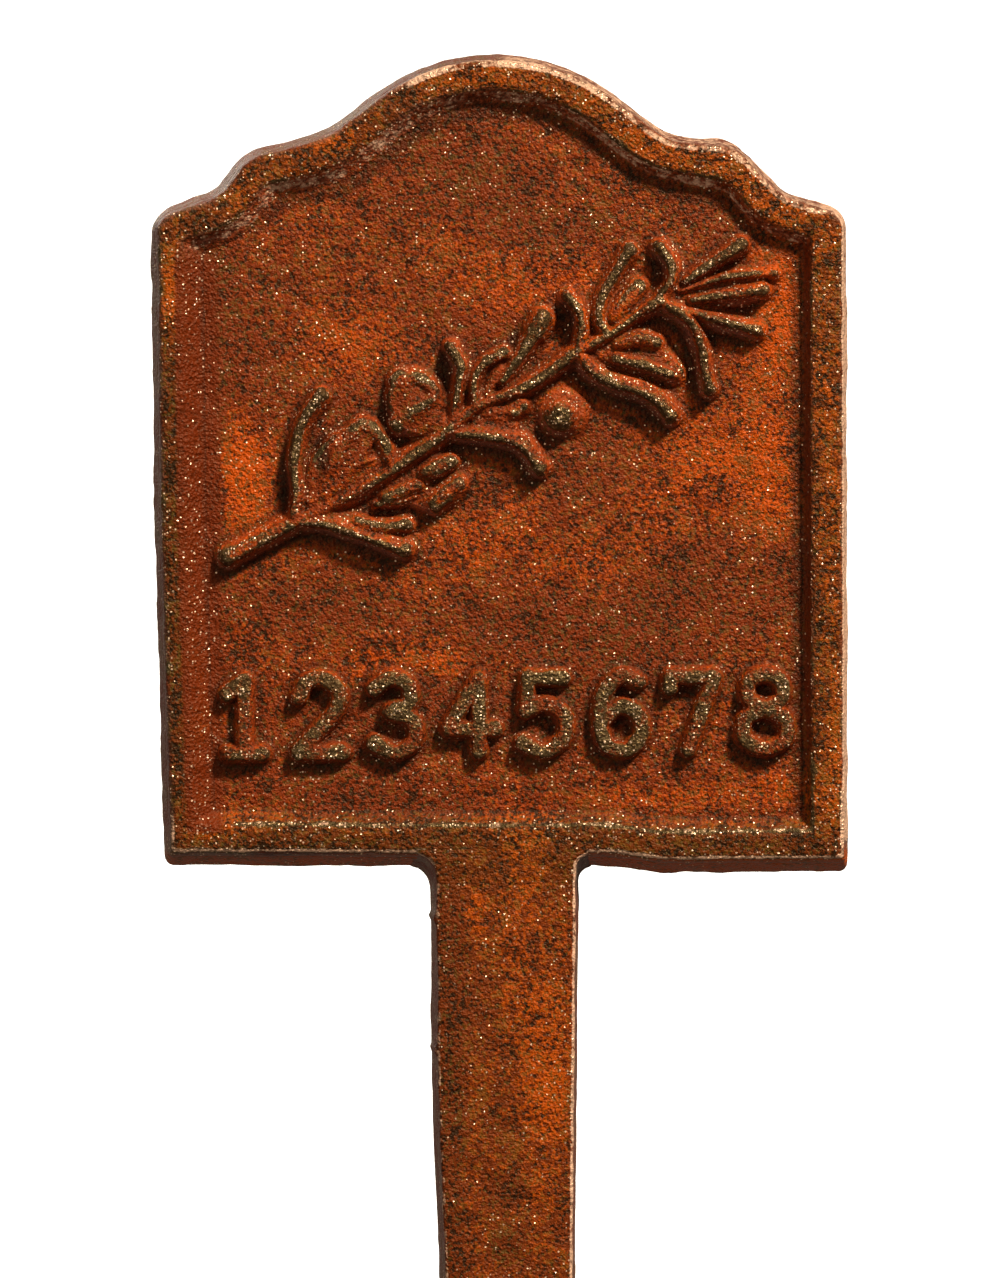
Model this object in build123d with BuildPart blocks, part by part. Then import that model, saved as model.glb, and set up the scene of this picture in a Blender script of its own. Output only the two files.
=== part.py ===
"""A cast iron plant label on a stake: an arched name plate with a raised rim, a herb sprig in relief
and a long tapering stake that is pushed into the soil.

The origin is at the stake's point, on the flat back. +Z is up and the plate's front looks along -Y.
The casting is divided along the borders of its own features. All sizes are in millimetres."""
from build123d import *
from math import atan, cos, degrees, radians, sin, tan
import os

os.makedirs("parts", exist_ok=True)

# The whole label
overall_height = 290.0
plate_width = 80.0
plate_height = 93.5
thickness = 5.8
draft_run = 1.2
recess_depth = 1.8
front_bevel = 0.5
bevel_angle = 45.0

# The arched head of the plate, stepped out from the arch to the shoulder: runs across and falls
arch_angle = 38.2
arch_flank_run = 5.0
arch_foot_radius = 6.9
ear_run = 9.0
ear_fall = 1.9
ear_radius = 6.9
neck_run = 4.1
neck_fall = 4.8
neck_radius = 4.6
shoulder_run = 7.4
shoulder_fall = 2.3
shoulder_radius = 3.4
lower_corner_radius = 1.2

# The raised rim
rim_face_width = 3.3
rim_slope_run = 1.5

# The stake
stake_top_width = 17.0
stake_low_width = 11.6
stake_draft_run = 0.7
stake_bevel = 0.4
point_angle = 26.0
point_radius = 1.4
point_shoulder_radius = 6.0
shoulder_fillet = 2.2

# Where the sprig stands on the plate
sprig_left_margin = 8.0
sprig_right_margin = 9.4
sprig_head_margin = 21.6

# The sprig's own sizes, as drawn at its full width
drawn_width = 62.6
drawn_height = 38.2
stem_width = 2.2
stem_wall = 0.9
stem_bend_radius = 4.0
cut_end_width = 3.4
cut_end_relief = 1.9
cut_end_draft = 0.6
broad_leaf_width = 3.5
long_leaf_width = 3.4
blade_width = 2.0
leaf_relief = 2.3
blade_relief = 2.2
hollow_depth = 0.7
petal_width = 1.9
petal_relief = 2.4
petal_head_radius = 1.3
petal_head_wall = 1.2
ball_bud_radius = 2.2
ball_bud_wall = 0.4
side_bud_radius = 1.3
side_bud_wall = 0.5
small_bud_radius = 1.0
small_bud_wall = 0.2

# Shares of a leaf's own length and width
ridge_start_share = 0.10
ridge_end_share = 0.88
ridge_width_share = 0.42
hollow_start_share = 0.24
hollow_end_share = 0.80
hollow_width_share = 0.32
hollow_bed_share = 0.12

# Shares of a bud's radius, out from its middle and up above its wall
dome_shoulder_share = 0.80
dome_rise_share = 0.60
dome_crown_share = 0.38

# Places in the sprig's field, as shares of its width and height from its lower left corner
cut_end_shares = (0.010, 0.070)
stem_shares = [
    (0.141, 0.190), (0.288, 0.310), (0.361, 0.395), (0.411, 0.446), (0.472, 0.533),
    (0.571, 0.593), (0.653, 0.690), (0.763, 0.795), (0.800, 0.822),
]
# Each leaf: its base beside the stem, its tip and how far its axis bows to the left of a straight line
broad_leaf_shares = {
    "left_leaf": ((0.142, 0.241), (0.187, 0.560), 0.10),
    "round_leaf": ((0.185, 0.270), (0.275, 0.470), 0.04),
    "middle_leaf": ((0.388, 0.466), (0.330, 0.608), -0.08),
}
long_leaf_shares = {
    "lower_leaf": ((0.163, 0.165), (0.334, 0.030), 0.12),
    "hanging_leaf": ((0.655, 0.647), (0.822, 0.476), 0.04),
    "under_leaf": ((0.433, 0.427), (0.583, 0.330), 0.12),
}
blade_shares = {
    "upright_blade": ((0.409, 0.490), (0.415, 0.704), -0.08),
    "narrow_blade": ((0.455, 0.566), (0.505, 0.678), 0.06),
    "high_blade": ((0.652, 0.736), (0.626, 0.856), -0.08),
    "long_blade": ((0.687, 0.764), (0.748, 0.975), 0.05),
    "top_blade": ((0.789, 0.853), (0.799, 0.978), -0.10),
    "side_blade": ((0.714, 0.660), (0.816, 0.599), 0.04),
}
# The flower's petals: the tip of each, its bow, and whether it ends in a round head
calyx_shares = (0.820, 0.834)
petal_shares = [
    ((0.930, 0.975), -0.03, True),
    ((1.000, 0.901), 0.04, False),
    ((0.968, 0.850), 0.03, True),
    ((0.969, 0.732), 0.07, False),
    ((0.884, 0.557), 0.16, False),
]
club_stalk_shares = ((0.505, 0.594), (0.574, 0.750), -0.05)
club_head_shares = (0.578, 0.768)
ball_bud_shares = (0.615, 0.488)
knob_bud_shares = (0.527, 0.494)
side_bud_shares = (0.756, 0.711)
low_bud_shares = [(0.396, 0.340), (0.330, 0.265), (0.404, 0.247), (0.308, 0.169)]

web_thickness = thickness - recess_depth
foot_height = overall_height - plate_height
draft_angle = degrees(atan(draft_run / thickness))
stake_draft_angle = degrees(atan(stake_draft_run / thickness))
half_width = plate_width / 2
sprig_scale = (plate_width - sprig_left_margin - sprig_right_margin) / drawn_width

# The two planes that everything is drawn on: the flat back, and the web's front inside the rim
back_face = Plane(origin=(0, 0, 0), x_dir=(1, 0, 0), z_dir=(0, -1, 0))
web_face = back_face.offset(web_thickness)
rim_face = back_face.offset(thickness)


def draw_corners(corners):
    """Fills a closed outline through corners given as across, up and the corner's own radius."""
    points = [(x, z) for x, z, radius in corners]
    with BuildLine() as outline:
        FilletPolyline(points, radius=[radius for x, z, radius in corners], close=True)
    make_face(outline.edges())


def draw_plate():
    """Draws the plate's outline at the back: the arch, its two ears, the shoulders and the straight foot."""
    slope = radians(arch_angle)
    arch_foot = half_width - shoulder_run - neck_run - ear_run
    arch_radius = (arch_foot - arch_flank_run) / sin(slope)
    apex_height = overall_height + arch_radius / cos(slope) - arch_radius
    arch_foot_height = apex_height - arch_foot * tan(slope)
    ear_height = arch_foot_height - ear_fall
    neck_height = ear_height - neck_fall
    right_side = [
        (arch_foot, arch_foot_height, arch_foot_radius),
        (arch_foot + ear_run, ear_height, ear_radius),
        (arch_foot + ear_run + neck_run, neck_height, neck_radius),
        (half_width, neck_height - shoulder_fall, shoulder_radius),
        (half_width, foot_height, lower_corner_radius),
    ]
    left_side = [(-x, z, radius) for x, z, radius in reversed(right_side)]
    draw_corners([(0, apex_height, arch_radius), *right_side, *left_side])


def draw_stake():
    """Draws the stake's outline at the back: shoulder fillets at the plate, a taper and a blunt point."""
    top_half = stake_top_width / 2
    low_half = stake_low_width / 2
    arm_half = top_half + shoulder_fillet + 2 * stake_draft_run
    seat_height = foot_height + draft_run + rim_face_width / 2
    half_angle = radians(point_angle / 2)
    point_corner = point_radius - point_radius / sin(half_angle)
    right_side = [
        (arm_half, seat_height, 0),
        (arm_half, foot_height, 0),
        (top_half, foot_height, shoulder_fillet),
        (low_half, point_corner + low_half / tan(half_angle), point_shoulder_radius),
    ]
    left_side = [(-x, z, radius) for x, z, radius in reversed(right_side)]
    draw_corners([*right_side, (0, point_corner, point_radius), *left_side])


def sprig_point(across_share, up_share):
    """A place in the sprig's field, from its left side and its upper side."""
    left = sprig_left_margin - half_width
    top = overall_height - sprig_head_margin
    across = across_share * drawn_width * sprig_scale
    down = (1 - up_share) * drawn_height * sprig_scale
    return Vector(left + across, top - down)


def leaf_plane(base, tip):
    """The plane on the web with its origin at the leaf's base and its x direction towards the tip."""
    run = tip - base
    return Plane(origin=web_face.from_local_coords(base), x_dir=(run.X, 0, run.Y), z_dir=web_face.z_dir)


def draw_leaf(start, end, width, bend):
    """Draws a leaf's outline between two places on its axis: two arcs that meet in a tip at each end."""
    middle = (start + end) / 2
    with BuildLine() as outline:
        ThreePointArc((start, 0), (middle, bend + width / 2), (end, 0))
        ThreePointArc((end, 0), (middle, bend - width / 2), (start, 0))
    make_face(outline.edges())


def raise_leaf(base_shares, tip_shares, width, relief, bend_share, hollow=False):
    """Adds a leaf that rises from its outline on the web to a narrower ridge, hollowed where it is dished."""
    width = width * sprig_scale
    relief = relief * sprig_scale
    base = sprig_point(*base_shares)
    tip = sprig_point(*tip_shares)
    length = (tip - base).length
    bend = bend_share * length
    ground = leaf_plane(base, tip)
    start = ridge_start_share * length
    end = ridge_end_share * length
    with BuildSketch(ground) as outline:
        draw_leaf(0, length, width, bend)
    with BuildSketch(ground.offset(relief)) as ridge:
        draw_leaf(start, end, width * ridge_width_share, bend)
    loft([outline.sketch, ridge.sketch], ruled=True)
    if hollow:
        start = hollow_start_share * length
        end = hollow_end_share * length
        with BuildSketch(ground.offset(relief)) as mouth:
            draw_leaf(start, end, width * hollow_width_share, bend)
        with BuildSketch(ground.offset(relief - hollow_depth * sprig_scale)) as bed:
            draw_leaf(start, end, width * hollow_bed_share, bend)
        loft([mouth.sketch, bed.sketch], ruled=True, mode=Mode.SUBTRACT)


def raise_bud(place_shares, radius, wall):
    """Adds a round bud: a bevelled dome on a short wall, turned about the line square to the web."""
    radius = radius * sprig_scale
    wall = wall * sprig_scale
    centre = web_face.from_local_coords(sprig_point(*place_shares))
    section = Plane(origin=centre, x_dir=(1, 0, 0), z_dir=(0, 0, 1))
    with BuildSketch(section) as half_bud:
        with BuildLine() as outline:
            Polyline(
                (0, 0),
                (radius, 0),
                (radius, -wall),
                (radius * dome_shoulder_share, -wall - radius * dome_rise_share),
                (radius * dome_crown_share, -wall - radius),
                (0, -wall - radius),
                close=True,
            )
        make_face(outline.edges())
    revolve(half_bud.sketch, axis=Axis(centre, web_face.z_dir))


# The back and web of the plate, with the draft that lets it leave the sand
with BuildPart() as name_plate:
    with BuildSketch(back_face):
        draw_plate()
    extrude(amount=web_thickness, taper=draft_angle)
name_plate.part.label = "name_plate"
export_step(name_plate.part, "parts/name_plate.step")

# The raised rim round the web, drafted outside and sloped inside, with a bevel round its front
with BuildPart() as plate_rim:
    bevel_start = thickness - front_bevel
    with BuildSketch(back_face):
        draw_plate()
    extrude(amount=bevel_start, taper=draft_angle)
    with BuildSketch(back_face.offset(bevel_start)):
        draw_plate()
        offset(amount=-draft_run * bevel_start / thickness, mode=Mode.REPLACE)
    extrude(amount=front_bevel, taper=bevel_angle)
    split(bisect_by=web_face, keep=Keep.TOP)
    with BuildSketch(web_face):
        draw_plate()
        offset(amount=-(draft_run + rim_face_width + rim_slope_run), mode=Mode.REPLACE)
    extrude(amount=recess_depth, taper=-degrees(atan(rim_slope_run / recess_depth)), mode=Mode.SUBTRACT)
plate_rim.part.label = "plate_rim"
export_step(plate_rim.part, "parts/plate_rim.step")

# The stake, flush with the rim in front and with the plate behind, seated on the plate's drafted foot
with BuildPart() as stake_blade:
    with BuildSketch(back_face):
        draw_stake()
    bevel_start = thickness - stake_bevel
    extrude(amount=bevel_start, taper=stake_draft_angle)
    with BuildSketch(back_face.offset(bevel_start)):
        draw_stake()
        offset(amount=-stake_draft_run * bevel_start / thickness, mode=Mode.REPLACE)
    extrude(amount=stake_bevel, taper=bevel_angle)
    add(name_plate.part, mode=Mode.SUBTRACT)
    add(plate_rim.part, mode=Mode.SUBTRACT)
stake_blade.part.label = "stake_blade"
export_step(stake_blade.part, "parts/stake_blade.step")

# The sprig's stem: a round-backed rib along its bends, with a thicker end where it was cut
with BuildLine() as stem_bends:
    FilletPolyline([sprig_point(*shares) for shares in stem_shares], radius=stem_bend_radius * sprig_scale)
stem_path = web_face.from_local_coords(stem_bends.wire())
with BuildPart() as sprig_stem:
    with BuildSketch(Plane(origin=stem_path @ 0, x_dir=web_face.z_dir, z_dir=stem_path % 0)):
        with BuildLine():
            half_stem = sprig_scale * stem_width / 2
            wall = sprig_scale * stem_wall
            Polyline((wall, half_stem), (0, half_stem), (0, -half_stem), (wall, -half_stem))
            CenterArc((wall, 0), half_stem, start_angle=-90, arc_size=180)
        make_face()
    sweep(path=stem_path)
    cut_end = sprig_point(*cut_end_shares)
    first_node = sprig_point(*stem_shares[0])
    end_length = (first_node - cut_end).length
    half_end = sprig_scale * cut_end_width / 2
    with BuildSketch(leaf_plane(cut_end, first_node)) as end_outline:
        with BuildLine():
            Polyline((0, -half_end), (0, half_end), (end_length, half_stem), (end_length, -half_stem), close=True)
        make_face()
    end_draft_angle = degrees(atan(cut_end_draft / cut_end_relief))
    extrude(end_outline.sketch, amount=cut_end_relief * sprig_scale, taper=end_draft_angle)
sprig_stem.part.label = "sprig_stem"
export_step(sprig_stem.part, "parts/sprig_stem.step")

# The flower: petals that fan out from the end of the stem, some with a round head
with BuildPart() as flower_head:
    for tip_shares, bend_share, headed in petal_shares:
        raise_leaf(calyx_shares, tip_shares, petal_width, petal_relief, bend_share)
        if headed:
            raise_bud(tip_shares, petal_head_radius, petal_head_wall)
    raise_bud(calyx_shares, small_bud_radius, petal_head_wall)
flower_head.part.label = "flower_head"
export_step(flower_head.part, "parts/flower_head.step")

# The leaves, each with its pointed base beside the stem
leaf_kinds = [
    (broad_leaf_shares, broad_leaf_width, leaf_relief, True),
    (long_leaf_shares, long_leaf_width, leaf_relief, True),
    (blade_shares, blade_width, blade_relief, False),
]
for leaves, width, relief, hollow in leaf_kinds:
    for name, (base_shares, tip_shares, bend_share) in leaves.items():
        with BuildPart() as leaf:
            raise_leaf(base_shares, tip_shares, width, relief, bend_share, hollow)
        leaf.part.label = name
        export_step(leaf.part, f"parts/{name}.step")

# The bud on a stalk, shaped like a club
with BuildPart() as club_bud:
    stalk_base, stalk_tip, stalk_bend = club_stalk_shares
    raise_leaf(stalk_base, stalk_tip, petal_width, petal_relief, stalk_bend)
    raise_bud(club_head_shares, petal_head_radius, petal_head_wall)
club_bud.part.label = "club_bud"
export_step(club_bud.part, "parts/club_bud.step")

# The round buds
buds = {
    "ball_bud": ([ball_bud_shares], ball_bud_radius, ball_bud_wall),
    "knob_bud": ([knob_bud_shares], small_bud_radius, small_bud_wall),
    "side_bud": ([side_bud_shares], side_bud_radius, side_bud_wall),
    "low_buds": (low_bud_shares, small_bud_radius, small_bud_wall),
}
for name, (places, radius, wall) in buds.items():
    with BuildPart() as bud:
        for place_shares in places:
            raise_bud(place_shares, radius, wall)
    bud.part.label = name
    export_step(bud.part, f"parts/{name}.step")
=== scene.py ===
"""A cast iron plant label on a stake, with a raised rim, a herb sprig and plain numerals in relief.

Every piece is worked out in millimetres on the label's own frame: x across, z up, the flat back at y = 0 and the
front towards -y. Lengths become metres when a piece is made."""

import bpy
import numpy as np
from mathutils import Matrix, Vector


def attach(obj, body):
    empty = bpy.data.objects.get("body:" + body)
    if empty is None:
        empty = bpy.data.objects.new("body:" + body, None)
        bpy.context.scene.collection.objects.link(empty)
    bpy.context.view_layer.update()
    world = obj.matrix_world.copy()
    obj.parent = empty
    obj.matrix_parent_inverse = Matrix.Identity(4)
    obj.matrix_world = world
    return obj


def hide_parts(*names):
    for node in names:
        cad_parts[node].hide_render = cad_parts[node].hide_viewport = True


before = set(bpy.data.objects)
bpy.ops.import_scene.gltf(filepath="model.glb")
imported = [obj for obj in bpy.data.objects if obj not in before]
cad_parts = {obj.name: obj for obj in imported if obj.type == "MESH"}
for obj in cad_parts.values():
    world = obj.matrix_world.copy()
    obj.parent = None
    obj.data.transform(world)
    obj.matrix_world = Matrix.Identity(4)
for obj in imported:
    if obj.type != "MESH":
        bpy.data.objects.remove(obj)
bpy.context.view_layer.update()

MM = 0.001

# Sizes shared with the casting's solids
OVERALL_HEIGHT = 290.0
HALF_WIDTH = 40.0
FOOT = 196.5
THICKNESS = 5.8
WEB = 4.0
DRAFT = 1.2
RIM_FACE = 3.3
RIM_SLOPE = 1.5
STAKE_TOP_HALF = 8.5
STAKE_LOW_HALF = 5.8
STAKE_DRAFT = 0.7
STAKE_TAPER_START = 22.0
POINT_RADIUS = 1.4
POINT_HALF_ANGLE = np.radians(13)
FOOT_LIFT = 1.1
ARCH_ANGLE = np.radians(38.2)
ARCH_FLANK_RUN = 5.0
ARCH_FOOT_RADIUS = 6.9
LOWER_CORNER_RADIUS = 1.2
# The ear, the neck and the shoulder: how far each runs across, how far it falls and the radius of its outer corner
HEAD_STEPS = [(9.0, 1.9, 6.9), (4.1, 4.8, 4.6), (7.4, 2.3, 3.4)]


def ramp(value, width):
    """Rises evenly from 0 to 1 as a value goes from 0 to a width, and is held beyond."""
    return np.clip(value / width, 0, 1)


# ---------------- the camera and the lights
def aim(thing, place, target, roll=0.0):
    """Puts a camera or light at a place and turns its -Z to the target, then rolls it about that line."""
    line = Vector(target) - Vector(place)
    turn = line.to_track_quat("-Z", "Y").to_matrix().to_4x4()
    thing.matrix_world = Matrix.Translation(place) @ turn @ Matrix.Rotation(roll, 4, "Z")


def area_light(name, place, target, size, power, colour):
    """A square studio lamp."""
    lamp = bpy.data.lights.new(name, "AREA")
    lamp.size = size
    lamp.energy = power
    lamp.color = colour
    thing = bpy.data.objects.new(name, lamp)
    bpy.context.collection.objects.link(thing)
    aim(thing, place, target)


camera_data = bpy.data.cameras.new("camera")
camera_data.lens = 111.7
camera_data.sensor_width = 36
camera = bpy.data.objects.new("camera", camera_data)
bpy.context.collection.objects.link(camera)
aim(camera, (-0.0184, -0.4555, 0.2511), (-0.0006, -0.0058, 0.2234), np.radians(-0.4))
bpy.context.scene.camera = camera

area_light("key_lamp", (1.50, -1.74, 2.72), (0, 0, 0.235), 0.34, 228, (1.0, 0.91, 0.76))
area_light("soft_fill", (-1.3, -1.9, 0.75), (0, 0, 0.22), 1.5, 14, (1.0, 0.90, 0.76))
area_light("back_fill", (-1.2, 2.3, 1.5), (0, 0, 0.2), 1.5, 28, (1.0, 0.92, 0.80))

world = bpy.data.worlds.new("studio")
world.use_nodes = True
world.node_tree.nodes["Background"].inputs["Color"].default_value = (1, 0.90, 0.78, 1)
world.node_tree.nodes["Background"].inputs["Strength"].default_value = 0.18
bpy.context.scene.world = world
bpy.context.scene.view_settings.view_transform = "Standard"


# ---------------- meshes
def ring_faces(rows, count, closed, first):
    """Four-cornered faces between each ring of points and the next, all the way round."""
    start = np.arange(rows if closed else rows - 1)[:, None]
    along = np.arange(count)[None, :]
    following = (start + 1) % rows
    step = (along + 1) % count
    corners = [start * count + along, start * count + step, following * count + step, following * count + along]
    return np.stack(corners, axis=-1).reshape(-1, 4) + first


def make_piece(name, skins, node, slot):
    """One object from one or more closed skins, standing in for a node or for none. A skin is (rings, marks,
    closed): rings of points as an array of rows, points round and x y z; marks, the values kept on its points;
    closed, whether the last ring meets the first. Otherwise the two end rings are closed by a face each. Faces are
    turned outwards by the skin's volume."""
    points, faces, total = [], [], 0
    marks = {key: [] for _, values, _ in skins for key in values}
    for rings, values, closed in skins:
        rows, count = rings.shape[:2]
        flat = rings.reshape(-1, 3)
        quads = ring_faces(rows, count, closed, total)
        a, b, c, d = (flat[quads[:, i] - total] for i in range(4))
        volume = np.einsum("ij,ij->", np.cross(a, b), c) + np.einsum("ij,ij->", np.cross(a, c), d)
        caps = [] if closed else [list(range(total, total + count))[::-1],
                                  list(range(total + (rows - 1) * count, total + rows * count))]
        if volume < 0:
            quads = quads[:, ::-1]
            caps = [cap[::-1] for cap in caps]
        points.append(flat)
        faces += quads.tolist() + caps
        for key, kept in marks.items():
            kept.append(np.broadcast_to(values.get(key, 0.0), (rows, count)).ravel())
        total += len(flat)
    name = f"cast_{name}" if node else name
    mesh = bpy.data.meshes.new(name)
    mesh.from_pydata((np.concatenate(points) * MM).tolist(), [], faces)
    mesh.polygons.foreach_set("use_smooth", np.ones(len(mesh.polygons), dtype=bool))
    for key, values in marks.items():
        layer = mesh.attributes.new(key, "FLOAT", "POINT")
        layer.data.foreach_set("value", np.concatenate(values).astype(np.float32))
    mesh.update()
    thing = bpy.data.objects.new(name, mesh)
    bpy.context.collection.objects.link(thing)
    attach(thing, "root")
    if node:
        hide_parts(node)
    mesh.materials.append(FINISHES[slot])


# ---------------- the sand-cast skin
LATTICE_SIZE = 24
LATTICE = np.random.default_rng(11).random((LATTICE_SIZE,) * 3) * 2 - 1


def lumps(points, size):
    """Smooth noise from -1 to 1: random values on a cubic lattice of the given size, blended by the curve
    3t^2 - 2t^3 between the eight nearest."""
    spot = points / size + 1000.0
    cell = np.floor(spot).astype(int)
    t = spot - cell
    t = t * t * (3 - 2 * t)
    value = 0.0
    for corner in np.ndindex(2, 2, 2):
        i, j, k = np.moveaxis((cell + corner) % LATTICE_SIZE, -1, 0)
        value = value + np.prod(np.where(corner, t, 1 - t), axis=-1) * LATTICE[i, j, k]
    return value


def skin_depth(points):
    """How far the sand left the surface short of its pattern, 0 to about 0.3 mm: lumps of 3.1, 1.3 and 0.7 mm."""
    waves = 0.10 * lumps(points, 3.1) + 0.07 * lumps(points, 1.3) + 0.045 * lumps(points, 0.7)
    return 0.12 + np.clip(waves, -0.12, 0.16)


# ---------------- the plate's outline
def plate_corners():
    """The outline's corners at the back and their radii, clockwise from the top of the arch."""
    x = HALF_WIDTH - sum(run for run, _, _ in HEAD_STEPS)
    arch_radius = (x - ARCH_FLANK_RUN) / np.sin(ARCH_ANGLE)
    apex = OVERALL_HEIGHT + arch_radius / np.cos(ARCH_ANGLE) - arch_radius
    z = apex - x * np.tan(ARCH_ANGLE)
    right = [(x, z, ARCH_FOOT_RADIUS)]
    for run, fall, radius in HEAD_STEPS:
        x, z = x + run, z - fall
        right.append((x, z, radius))
    right.append((HALF_WIDTH, FOOT, LOWER_CORNER_RADIUS))
    left = [(-x, z, radius) for x, z, radius in reversed(right)]
    return np.array([(0, apex, arch_radius), *right, *left])


CORNERS = plate_corners()

# Places where the casting stands out from its pattern: x, z, reach, how far
SWELLS = [(25.4, 279.6, 2.6, 0.75), (-34.6, 273.8, 3.0, 0.35), (-20.8, 281.3, 3.0, 0.3)]


def plate_outline(inset, step=0.42, least=0.5):
    """The outline moved inwards by an inset. Each side slides along its inward normal, and each corner is an arc
    whose radius shrinks (outward corners) or grows (inward corners) by the inset. Returns the points and their
    inward normals, always as many, so outlines of different inset join point to point. As on the real casting, the
    arch then lies 0.6 mm to the left, the left side leans in by 0.6 mm towards the foot, a few places swell out, and
    the foot hangs up to 1 mm lower on the right than on the left, with a wider draft on its wall."""
    corner, radius = CORNERS[:, :2], CORNERS[:, 2]
    side = np.roll(corner, -1, axis=0) - corner
    side /= np.linalg.norm(side, axis=1)[:, None]
    after = np.stack([side[:, 1], -side[:, 0]], axis=1)
    before = np.roll(after, 1, axis=0)
    middle = before + after
    moved = corner + inset * middle / (1 + np.sum(before * after, axis=1))[:, None]
    turn = np.cross(np.roll(side, 1, axis=0), side)
    bulge = np.where(turn < 0, 1.0, -1.0)
    half_turn = np.arccos(np.clip(np.sum(before * after, axis=1), -1, 1)) / 2
    middle /= np.linalg.norm(middle, axis=1)[:, None]
    rounded = np.maximum(radius - bulge * inset, least)
    centre = moved + (bulge * rounded / np.cos(half_turn))[:, None] * middle
    angle = np.arctan2(before[:, 1], before[:, 0])
    swing = (np.arctan2(after[:, 1], after[:, 0]) - angle + np.pi) % (2 * np.pi) - np.pi
    trim = radius * np.tan(half_turn)
    run = np.linalg.norm(np.roll(corner, -1, axis=0) - corner, axis=1) - trim - np.roll(trim, -1)
    points, normals = [], []
    for i in range(len(corner)):
        count = max(5, int(radius[i] * 2 * half_turn[i] / step))
        phi = angle[i] + swing[i] * np.linspace(0, 1, count)
        normal = np.stack([np.cos(phi), np.sin(phi)], axis=1)
        arc = centre[i] - bulge[i] * rounded[i] * normal
        j = (i + 1) % len(corner)
        entry = centre[j] - bulge[j] * rounded[j] * before[j]
        between = np.linspace(0, 1, max(2, int(run[i] / step)) + 1)[1:-1, None]
        points += [arc, arc[-1] + (entry - arc[-1]) * between]
        normals += [normal, np.repeat(after[i][None], len(between), axis=0)]
    points, normals = np.concatenate(points), np.concatenate(normals)
    x, z = points[:, 0], points[:, 1]
    rise = ramp(z - 273, 6)
    x -= 0.6 * rise * rise * (3 - 2 * rise)
    x += 0.6 * ramp(236 - z, 35) * ramp(-x - 28, 5)
    for swell_x, swell_z, reach, swell in SWELLS:
        points -= normals * (swell * np.exp(-((x - swell_x) ** 2 + (z - swell_z) ** 2) / reach**2))[:, None]
    low, sag = ramp(212 - z, 10), ramp(x - 11, 8)
    slant = np.where(x < 0, 0.65, 0.2) * x / HALF_WIDTH + 0.85 * sag * sag * (3 - 2 * sag)
    z += low * (FOOT_LIFT * ramp(inset, DRAFT) - slant)
    return points, normals


def outline_top(x, inset):
    """The height of the moved outline above each x."""
    points, _ = plate_outline(inset, step=0.2)
    upper = points[points[:, 1] > 250]
    order = np.argsort(upper[:, 0])
    return np.interp(x, upper[order, 0], upper[order, 1])


# ---------------- the relief on the web
STEP = 0.11494


def place(across, down):
    """A place on the plate from the drawing's grid, whose steps are 0.115 mm."""
    return np.array([(across - 501) * STEP, FOOT + (868 - down) * STEP])


def lengths(line):
    """How far along a line each of its points lies."""
    return np.concatenate([[0], np.cumsum(np.linalg.norm(np.diff(line, axis=0), axis=1))])


def pick(at, run, line):
    """The points of a line at some lengths along its run."""
    return np.stack([np.interp(at, run, line[:, i]) for i in (0, 1)], axis=1)


def curve_through(points, count, straight):
    """A line through points, evenly spaced: cubic pieces whose slope at a point is that of its two neighbours."""
    points = np.asarray(points, dtype=float)
    length = lengths(points)
    s = np.linspace(0, length[-1], 200)
    if straight or len(points) < 3:
        line = pick(s, length, points)
    else:
        slope = np.gradient(points, length, axis=0)
        i = np.clip(np.searchsorted(length, s, side="right") - 1, 0, len(points) - 2)
        gap = (length[i + 1] - length[i])[:, None]
        t = (s - length[i])[:, None] / gap
        line = (
            (2 * t**3 - 3 * t**2 + 1) * points[i]
            + (t**3 - 2 * t**2 + t) * gap * slope[i]
            + (3 * t**2 - 2 * t**3) * points[i + 1]
            + (t**3 - t**2) * gap * slope[i + 1]
        )
    run = lengths(line)
    return pick(np.linspace(0, run[-1], count), run, line)


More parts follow.
